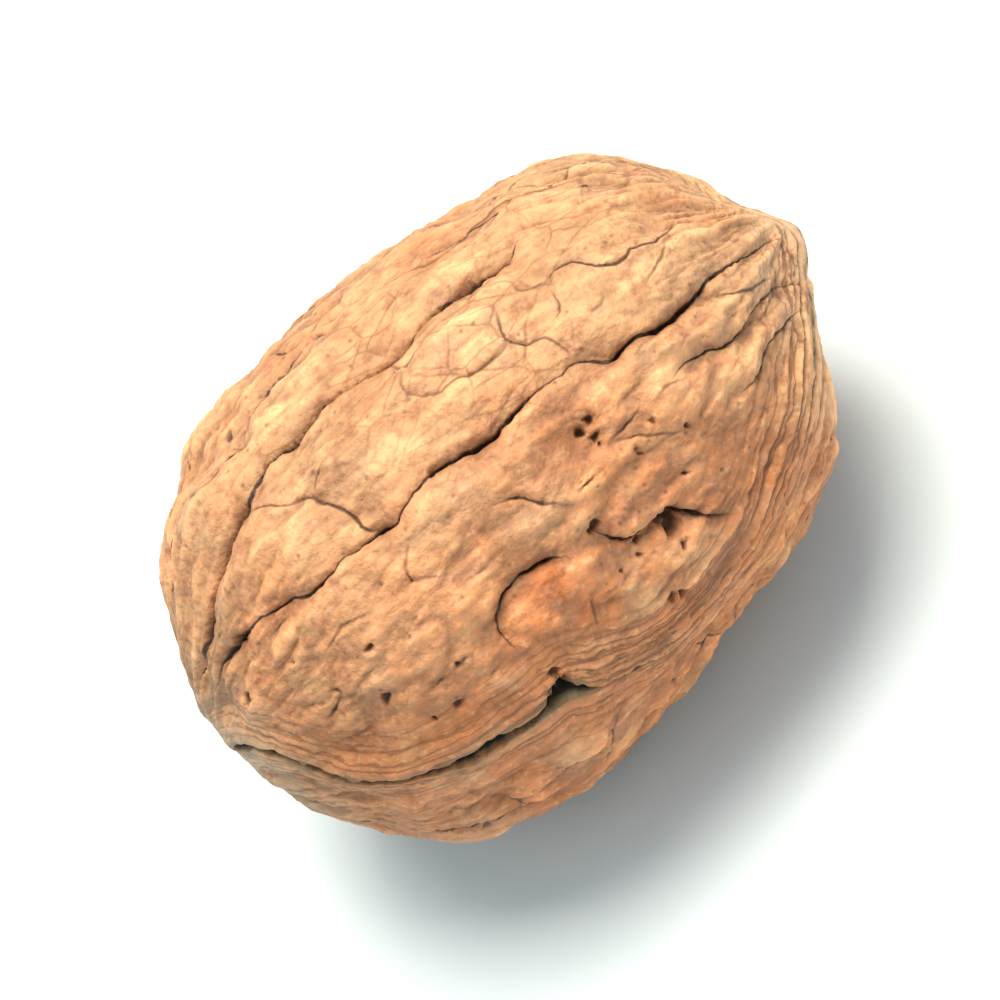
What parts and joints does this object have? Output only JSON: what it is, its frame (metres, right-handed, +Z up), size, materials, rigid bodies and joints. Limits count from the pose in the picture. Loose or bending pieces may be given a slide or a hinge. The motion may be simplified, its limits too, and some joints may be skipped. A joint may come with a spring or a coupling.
{
  "type": "walnut",
  "caption": "Whole walnut in its shell, lying on its side: an egg-shaped nut with a raised seam, long furrows, fine creases and pits.",
  "frame": {"origin": "middle of the nut's box, on the surface that it rests on", "axes": "+X along the nut from the stem end to the pointed tip, +Z up, the seam between the halves lying level"},
  "size_m": [0.0432, 0.0316, 0.03],
  "materials": {
    "shell": "matte"
  },
  "bodies": {
    "root": {"walnut_shell": "shell"}
  },
  "joints": []
}
